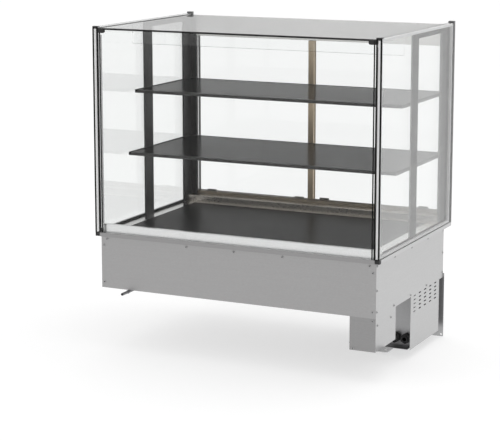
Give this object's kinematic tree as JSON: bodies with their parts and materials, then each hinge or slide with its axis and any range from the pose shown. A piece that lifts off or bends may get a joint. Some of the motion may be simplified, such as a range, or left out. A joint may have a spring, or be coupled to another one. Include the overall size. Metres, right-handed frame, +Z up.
{
  "type": "drop-in heated display case",
  "caption": "Drop-in heated display case: steel base box under a counter flange, glass cabinet with heated shelves, lift-up front glass, sliding rear doors and rear controls.",
  "frame": {"origin": "middle of the front strip of the counter flange, on its underside, where the case rests on the counter", "axes": "+X to the right along the customer front, +Y back to the operator side, +Z up; the counter top is the plane Z = 0"},
  "size_m": [1.088, 0.744, 1.15],
  "materials": {
    "brushed_steel": "brushed, satin",
    "bright_steel": "fine brushed, bright",
    "black_glass": "gloss, opaque glass ceramic",
    "heater_foil": "satin foil",
    "mineral_wool": "matt fibres",
    "copper": "dull copper",
    "tube_steel": "dull",
    "black_plastic": "fine texture",
    "green_plastic": "gloss, lit when on",
    "pale_plastic": "satin",
    "grey_plastic": "satin",
    "amber_plastic": "gloss, translucent",
    "black_rubber": "matt",
    "screw_steel": "satin",
    "clear_glass": "clear, polished edges",
    "grey_painted": "satin powder coat",
    "dark_painted": "satin powder coat",
    "black_painted": "satin powder coat",
    "champagne_aluminium": "brushed, anodised"
  },
  "bodies": {
    "case": {"counter_flange": "brushed_steel", "front_upstand": "brushed_steel", "rear_ledge": "brushed_steel", "side_trims": "bright_steel", "hot_plate": "black_glass", "deck_heaters": "heater_foil", "deck_insulation": "mineral_wool", "temperature_probe": "copper", "base_front_panel": "brushed_steel", "base_rear_panel": "brushed_steel", "base_left_panel": "brushed_steel", "base_right_panel": "brushed_steel", "base_bottom_panel": "brushed_steel", "corner_brackets": "brushed_steel", "junction_box": "brushed_steel", "junction_cover": "brushed_steel", "foot_plate": "brushed_steel", "drain_tube": "tube_steel", "control_housing": "brushed_steel", "control_panel": "brushed_steel", "rocker_housing": "black_plastic", "regulator_bodies": "pale_plastic", "pilot_lamps": "amber_plastic", "cable_glands": "black_plastic", "gland_nuts": "black_plastic", "terminal_block": "pale_plastic", "power_relays": "pale_plastic", "wiring": "black_rubber", "panel_screws": "screw_steel", "outer_panes": "clear_glass", "inner_panes": "clear_glass", "glazing_spacers": "grey_plastic", "glazing_caps": "black_plastic", "glazing_gaskets": "black_rubber", "rear_corner_posts": "grey_painted", "frame_posts": "dark_painted", "top_rails": "dark_painted", "rear_uprights": "dark_painted", "rear_top_beam": "champagne_aluminium", "door_track": "champagne_aluminium", "top_glass": "clear_glass", "air_deflector": "clear_glass", "upper_shelf_glass": "black_glass", "upper_shelf_frame": "dark_painted", "lower_shelf_glass": "black_glass", "lower_shelf_frame": "dark_painted", "shelf_heaters": "heater_foil", "pivot_plates": "black_painted"},
    "front_glass": {"front_glass": "clear_glass", "glass_clamps": "black_painted"},
    "left_door": {"left_door_glass": "clear_glass", "left_door_stile": "champagne_aluminium", "left_door_rollers": "grey_plastic"},
    "right_door": {"right_door_glass": "clear_glass", "right_door_stile": "champagne_aluminium", "right_door_rollers": "grey_plastic"},
    "main_rocker": {"main_rocker": "green_plastic"},
    "deck_knob": {"deck_knob": "black_plastic"},
    "lower_shelf_knob": {"lower_shelf_knob": "black_plastic"},
    "upper_shelf_knob": {"upper_shelf_knob": "black_plastic"}
  },
  "joints": [
    {"name": "front_glass_hinge", "type": "hinge", "parent": "case", "child": "front_glass", "pos_m": [0, -0.004, 0.723], "axis": [-1, 0, 0], "range_deg": [0, 90]},
    {"name": "left_door_slide", "type": "slide", "parent": "case", "child": "left_door", "axis": [1, 0, 0], "range_m": [0, 0.455]},
    {"name": "right_door_slide", "type": "slide", "parent": "case", "child": "right_door", "axis": [-1, 0, 0], "range_m": [0, 0.455]},
    {"name": "main_rocker_tilt", "type": "hinge", "parent": "case", "child": "main_rocker", "pos_m": [0.321, 0.677, -0.23736], "axis": [1, 0, 0], "range_deg": [0, 20]},
    {"name": "deck_knob_turn", "type": "hinge", "parent": "case", "child": "deck_knob", "pos_m": [0.321, 0.677, -0.32268], "axis": [0, -1, 0], "range_deg": [0, 270]},
    {"name": "lower_shelf_knob_turn", "type": "hinge", "parent": "case", "child": "lower_shelf_knob", "pos_m": [0.393, 0.677, -0.32268], "axis": [0, -1, 0], "range_deg": [0, 270]},
    {"name": "upper_shelf_knob_turn", "type": "hinge", "parent": "case", "child": "upper_shelf_knob", "pos_m": [0.465, 0.677, -0.32268], "axis": [0, -1, 0], "range_deg": [0, 270]}
  ]
}
